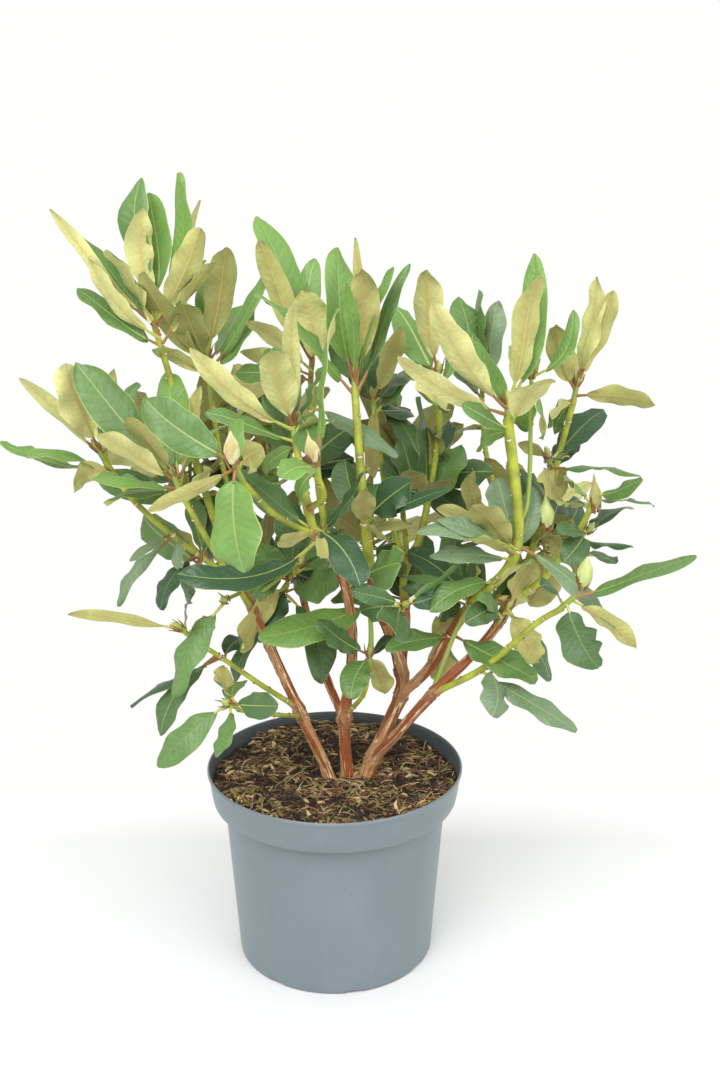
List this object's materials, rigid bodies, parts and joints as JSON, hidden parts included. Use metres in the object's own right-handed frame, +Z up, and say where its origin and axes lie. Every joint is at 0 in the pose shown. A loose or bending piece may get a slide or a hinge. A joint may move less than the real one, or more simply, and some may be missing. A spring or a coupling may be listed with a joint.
{
  "type": "potted rhododendron",
  "caption": "Young evergreen rhododendron shrub with several stems in a round grey nursery pot, with open whorls of leathery leaves at the ends of its shoots.",
  "frame": {"origin": "centre of the pot's flat underside", "axes": "+Z up the plant, +X to the right of its front, -Y towards the front"},
  "size_m": [0.5533, 0.3926, 0.6886],
  "materials": {
    "pot_plastic": "satin slate-grey moulded plastic",
    "peat": "loose peat and bark fibres",
    "bark": "reddish-brown bark that peels in pale strips",
    "young_bark": "smooth yellow-green shoots with pale leaf scars",
    "leaf": "leathery leaves, satin green above and pale olive below"
  },
  "bodies": {
    "root": {"bough_back_left": "young_bark", "bough_back_middle": "bark", "bough_back_right": "young_bark", "bough_back_right_middle": "young_bark", "bough_front_left": "young_bark", "bough_front_middle": "young_bark", "bough_left_front": "young_bark", "bough_left_high": "young_bark", "bough_left_tip": "young_bark", "bough_low_centre": "young_bark", "bough_low_left": "young_bark", "bough_low_shoot": "young_bark", "bough_low_tip": "young_bark", "bough_lowest_left": "young_bark", "bough_middle_back": "young_bark", "bough_middle_top": "young_bark", "bough_right": "young_bark", "bough_right_back": "young_bark", "bough_right_middle": "young_bark", "bough_right_tip": "young_bark", "leaves_back_left": "leaf", "leaves_back_low_left": "leaf", "leaves_back_low_right": "leaf", "leaves_back_middle": "leaf", "leaves_back_right": "leaf", "leaves_back_right_middle": "leaf", "leaves_centre": "leaf", "leaves_centre_left": "leaf", "leaves_centre_right": "leaf", "leaves_front_left": "leaf", "leaves_front_middle": "leaf", "leaves_left_front": "leaf", "leaves_left_high": "leaf", "leaves_left_inner": "leaf", "leaves_left_tip": "leaf", "leaves_left_top": "leaf", "leaves_low_centre": "leaf", "leaves_low_left": "leaf", "leaves_low_right": "leaf", "leaves_low_right_middle": "leaf", "leaves_low_shoot": "leaf", "leaves_low_tip": "leaf", "leaves_lowest_left": "leaf", "leaves_middle_back": "leaf", "leaves_middle_high": "leaf", "leaves_middle_left": "leaf", "leaves_middle_top": "leaf", "leaves_right_back": "leaf", "leaves_right_hanging": "leaf", "leaves_right_high": "leaf", "leaves_right_inner": "leaf", "leaves_right_middle": "leaf", "leaves_right_tip": "leaf", "leaves_right_top": "leaf", "pot": "pot_plastic", "soil": "peat", "stem_far_right": "bark", "stem_left": "bark", "stem_middle": "bark", "stem_right": "bark"}
  },
  "joints": []
}
